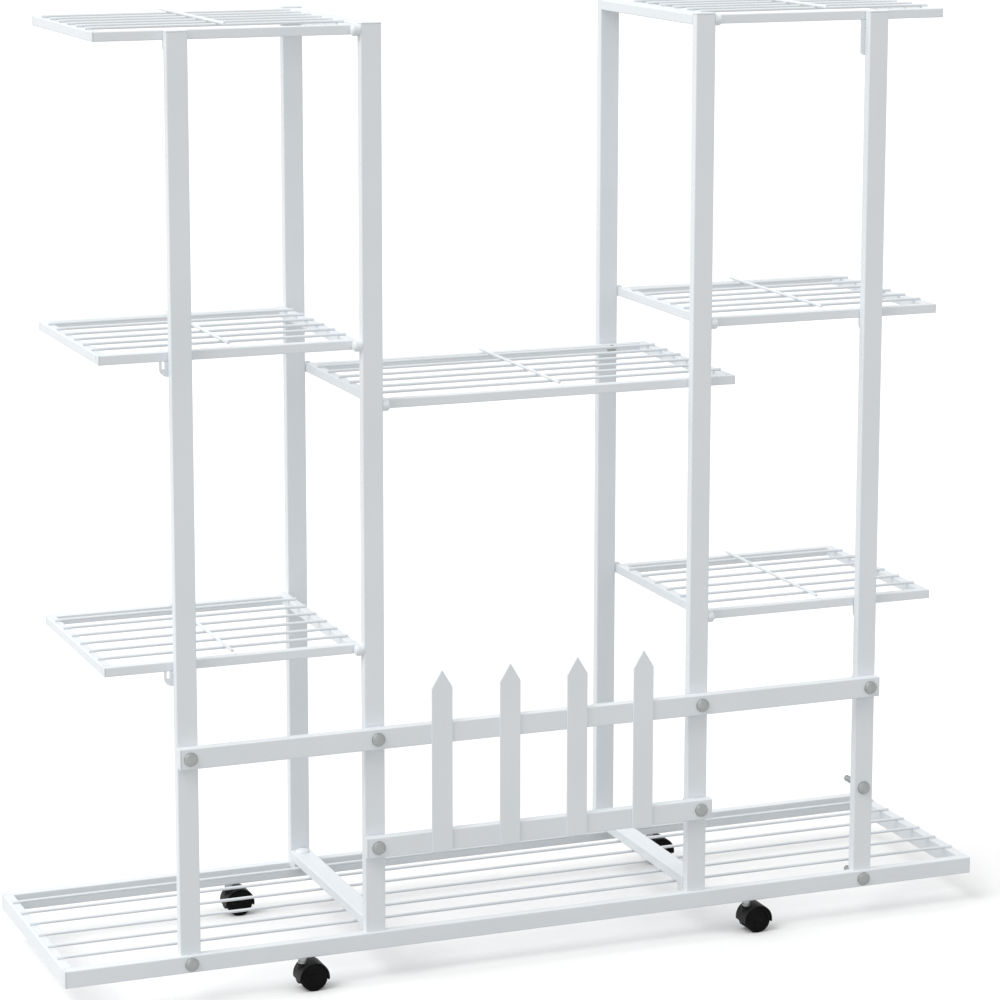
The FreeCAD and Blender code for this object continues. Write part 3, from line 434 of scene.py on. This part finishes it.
def turned_fastener(mesh, facts, rim_share, thread_run):
    """Spins a chamfered tail, thread rings for the given run, a shank and a domed head."""
    radius, tail = facts["shank_radius"], -facts["shank_length"]
    profile = [(0.0, tail), (radius - TAIL_CHAMFER, tail), (radius, tail + TAIL_CHAMFER)]
    for ring in range(int(thread_run / THREAD_PITCH)):
        root = tail + TAIL_CHAMFER + THREAD_PITCH * (ring + 1 / 2)
        profile += [(radius - THREAD_DEPTH, root), (radius, root + THREAD_PITCH / 2)]
    profile += [(radius, 0.0), (facts["head_radius"], 0.0)]
    rim = facts["head_height"] * rim_share
    profile += dome(facts["head_radius"], rim, facts["head_height"] - rim)
    lathe(mesh, profile, facts["seat"], facts["axis"])


FASTENERS = {
    "frame_bolts": {"piece": "domed_frame_bolts", "rim_share": 0.3, "thread_run": THREAD_RUN},
    "shelf_bush_screws": {"piece": "domed_bush_screws", "rim_share": 0.25, "thread_run": 0.0},
    "shelf_short_screws": {"piece": "domed_short_screws", "rim_share": 0.2, "thread_run": 0.0},
    "foot_screws": {"piece": "domed_foot_screws", "rim_share": 0.2, "thread_run": 0.0},
}
for node, look in FASTENERS.items():
    mesh = bmesh.new()
    found = loose_pieces(node)
    for points in found:
        turned_fastener(mesh, fastener_facts(points), look["rim_share"], look["thread_run"])
    piece = keep_piece(mesh, look["piece"], node, "frame")
    print(piece.name, "has", len(found), "fasteners and", len(piece.data.polygons), "faces")

# %% [markdown]
# ## The fence pickets
# Each picket is a strip of flat steel cut to a point. Cut steel that has been coated has no sharp
# edge: the coat rounds it by about half a millimetre, and that is what catches the light along the
# point. The strip could be drawn again, but the solid has its outline already, so a copy of it is
# merged into clean faces and its edges are bevelled. With soft shading alone the broad faces would
# look pillowed. A Weighted Normal modifier keeps them flat to the light, so only the rounded edge
# turns it.

# %% Softened copies of flat solids
FLAT_ANGLE = math.radians(1)
BEVEL_ANGLE = math.radians(30)
BEVEL_SEGMENTS = 2
ROUND_PROFILE = 0.5
PICKET_EDGE = 0.5 * MM


def softened(node, new_name, body, radius):
    """A piece from a copy of a node, with flat faces joined and sharp edges rounded."""
    mesh = bmesh.new()
    mesh.from_mesh(nodes[node].data)
    bmesh.ops.remove_doubles(mesh, verts=mesh.verts, dist=MERGE)
    bmesh.ops.dissolve_limit(mesh, angle_limit=FLAT_ANGLE, verts=mesh.verts, edges=mesh.edges)
    shared = [edge for edge in mesh.edges if len(edge.link_faces) == 2]
    sharp = [edge for edge in shared if edge.calc_face_angle() > BEVEL_ANGLE]
    bmesh.ops.bevel(
        mesh,
        geom=sharp,
        offset=radius,
        offset_type="OFFSET",
        affect="EDGES",
        segments=BEVEL_SEGMENTS,
        profile=ROUND_PROFILE,
        material=-1,
        clamp_overlap=True,
    )
    piece = keep_piece(mesh, new_name, node, body)
    piece.modifiers.new("flat_faces", "WEIGHTED_NORMAL").keep_sharp = True
    return piece


picket_piece = softened("fence_pickets", "coated_fence_pickets", "frame", PICKET_EDGE)
print("pickets:", len(loose_pieces("fence_pickets")), "faces:", len(picket_piece.data.polygons))

# %% [markdown]
# ## The tube plugs
# A plastic plug closes each open tube end. Its flange is as large as the tube, with corners and
# edges rounded like the tube's own. That is the same work as on the pickets, so the same helper
# does it.

# %% Plugs
PLUG_EDGE = 0.5 * MM
plug_piece = softened("tube_end_plugs", "moulded_tube_plugs", "frame", PLUG_EDGE)
print("plugs:", len(loose_pieces("tube_end_plugs")), "faces:", len(plug_piece.data.polygons))

# %% [markdown]
# ## The nuts
# Behind each bolted joint sits a plain hexagon nut with chamfered corners. A cone could cut the
# chamfer, but on a nut this small, softened edges catch the light in the same way.

# %% Nuts
NUT_EDGE = 0.5 * MM
nut_piece = softened("frame_nuts", "chamfered_frame_nuts", "frame", NUT_EDGE)
print("nuts:", len(loose_pieces("frame_nuts")), "faces:", len(nut_piece.data.polygons))

# %% [markdown]
# ## The caster hoods
# Each caster is a hood of black nylon over two wheels on one axle. The hood is moulded, so all its
# edges are rolled. Its curved shell is right in the solid already, so a copy is softened instead of
# building the shell again.

# %% Caster hoods
PLACES = ("front_left", "front_right", "rear_left", "rear_right")
HOOD_EDGE = 0.8 * MM

for place in PLACES:
    hood = softened(f"{place}_caster_hood", f"{place}_moulded_hood", f"{place}_caster", HOOD_EDGE)
    print(hood.name, "faces:", len(hood.data.polygons))

# %% [markdown]
# ## The caster wheels
# Each wheel is a moulded disc with a raised rim, a shallow dish and a hub boss. A disc with insets
# would come close, but a turned section has all of these in one outline. The wheels are turned on
# the axle's line, so that they still run true when the caster swivels and the wheels roll.

# %% Caster wheels
AXLE_LINE = (0, 1, 0)
WHEEL_STEPS = 64
WHEEL_EDGE = 1.0 * MM
EDGE_SHARE = 0.3
DISH_DEPTH = 0.8 * MM
HUB_RADIUS = 4.0 * MM
BORE_RADIUS = 2.05 * MM
RIM_WIDTH = 2.6 * MM


def wheel_profile(radius, half):
    """Closed outline of a wheel's section: bore, hub, dish, rim and rounded tread on both sides."""
    side = [
        (BORE_RADIUS, half),
        (HUB_RADIUS, half),
        (HUB_RADIUS + DISH_DEPTH / 2, half - DISH_DEPTH),
        (radius - RIM_WIDTH - DISH_DEPTH / 2, half - DISH_DEPTH),
        (radius - RIM_WIDTH, half),
        (radius - WHEEL_EDGE, half),
        (radius - WHEEL_EDGE * EDGE_SHARE, half - WHEEL_EDGE * EDGE_SHARE),
        (radius, half - WHEEL_EDGE),
    ]
    other = [(r, -along) for r, along in reversed(side)]
    return side + other + side[:1]


for place in PLACES:
    for end in ("front", "rear"):
        name = f"{place}_{end}_wheel"
        low, high = (Vector(limit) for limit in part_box(name))
        profile = wheel_profile((high.z - low.z) / 2, (high.y - low.y) / 2)
        mesh = bmesh.new()
        lathe(mesh, profile, (low + high) / 2, AXLE_LINE, steps=WHEEL_STEPS)
        wheel = keep_piece(mesh, f"{name}_turned", name, name)
print("wheels:", 2 * len(PLACES), "faces each:", len(wheel.data.polygons))

# %% [markdown]
# ## The axle caps
# No bright metal shows in the middle of the wheels: each end of the axle has a black cap in the
# middle of the wheel's face. The axle is turned in one piece from cap to cap, and each cap gets a
# very low dome, so that it takes a soft highlight of its own.

# %% Axles with caps
CAP_RISE = 0.4 * MM
CAP_HEIGHT = 1.1 * MM
PIN_RADIUS = 1.9 * MM

for place in PLACES:
    name = f"{place}_caster_axle"
    low, high = (Vector(limit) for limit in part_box(name))
    half = (high.y - low.y) / 2
    cap = dome((high.z - low.z) / 2, half - CAP_RISE, CAP_RISE)
    run = [(PIN_RADIUS, half - CAP_HEIGHT), (cap[0][0], half - CAP_HEIGHT)] + cap
    profile = [(r, -along) for r, along in reversed(run)] + run
    mesh = bmesh.new()
    lathe(mesh, profile, (low + high) / 2, AXLE_LINE)
    axle = keep_piece(mesh, f"{place}_capped_axle", name, f"{place}_caster")
    print(axle.name, "cap radius", round(cap[0][0] / MM, 2), "mm")

# %% [markdown]
# ## The floor
# The photograph has a cut-out look, white behind and white below. More light would whiten the floor
# too, but it would also burn out the white coat. So the floor looks white to the camera and in the
# gloss of the metal, while it gives less light back to the stand, which keeps its grey sides. A
# faint shadow stays on it.

# %% Floor
FLOOR_SIZE = 60.0
FLOOR_BOUNCE = 0.47
FLOOR_ROUGHNESS = 0.9


def seen_directly(tree):
    """A node that gives 1 where the camera, a reflection or glass looks, and 0 for other light."""
    path = tree.nodes.new("ShaderNodeLightPath")
    outer = add_node(tree, "ShaderNodeMath", operation="MAXIMUM")
    inner = add_node(tree, "ShaderNodeMath", operation="MAXIMUM")
    wire_up(
        tree,
        ((path, "Is Glossy Ray"), (inner, 0)),
        ((path, "Is Transmission Ray"), (inner, 1)),
        ((path, "Is Camera Ray"), (outer, 0)),
        ((inner, "Value"), (outer, 1)),
    )
    return outer


floor_mesh = bmesh.new()
bmesh.ops.create_grid(floor_mesh, x_segments=1, y_segments=1, size=FLOOR_SIZE / 2)
floor_data = bpy.data.meshes.new("floor")
floor_mesh.to_mesh(floor_data)
floor_mesh.free()
floor = bpy.data.objects.new("floor", floor_data)
scene.collection.objects.link(floor)

floor_finish = bpy.data.materials.new("pale_floor")
floor_finish.use_nodes = True
tree = floor_finish.node_tree
shader = tree.nodes["Principled BSDF"]
shader.inputs["Roughness"].default_value = FLOOR_ROUGHNESS
shader.inputs["Specular IOR Level"].default_value = 0.0
tone = ramp(tree, ((0.0, FLOOR_BOUNCE), (1.0, 1.0)))
tree.links.new(seen_directly(tree).outputs["Value"], tone.inputs["Fac"])
tree.links.new(tone.outputs["Color"], shader.inputs["Base Color"])
floor_data.materials.append(floor_finish)
print("floor", FLOOR_SIZE, "m across")

# %% [markdown]
# ## Sky and sun
# The light in the photograph is soft and comes from the upper left. The sky is pale all round, and
# white only where it is looked at. Lamps would need placing round so large a stand, so one wide sun
# does the rest: it lifts the tops and the left faces, and its shadows have soft edges.

# %% Sky and sun
SKY_LIGHT = 0.75
SUN_FROM = Vector((-0.88, -0.1, 1.05))
SUN_STRENGTH = 1.75
SUN_WIDTH = math.radians(45)

world = bpy.data.worlds.new("pale_sky")
scene.world = world
world.use_nodes = True
sky = world.node_tree
back = sky.nodes["Background"]
back.inputs["Color"].default_value = (1.0, 1.0, 1.0, 1.0)
level = add_node(sky, "ShaderNodeMapRange", To_Min=SKY_LIGHT, To_Max=1.0)
sky.links.new(seen_directly(sky).outputs["Value"], level.inputs["Value"])
sky.links.new(level.outputs["Result"], back.inputs["Strength"])

sun_data = bpy.data.lights.new("sun", "SUN")
sun_data.energy = SUN_STRENGTH
sun_data.angle = SUN_WIDTH
sun = bpy.data.objects.new("sun", sun_data)
sun.rotation_euler = SUN_FROM.to_track_quat("Z", "Y").to_euler()
scene.collection.objects.link(sun)
print("sky", SKY_LIGHT, "sun", SUN_STRENGTH)
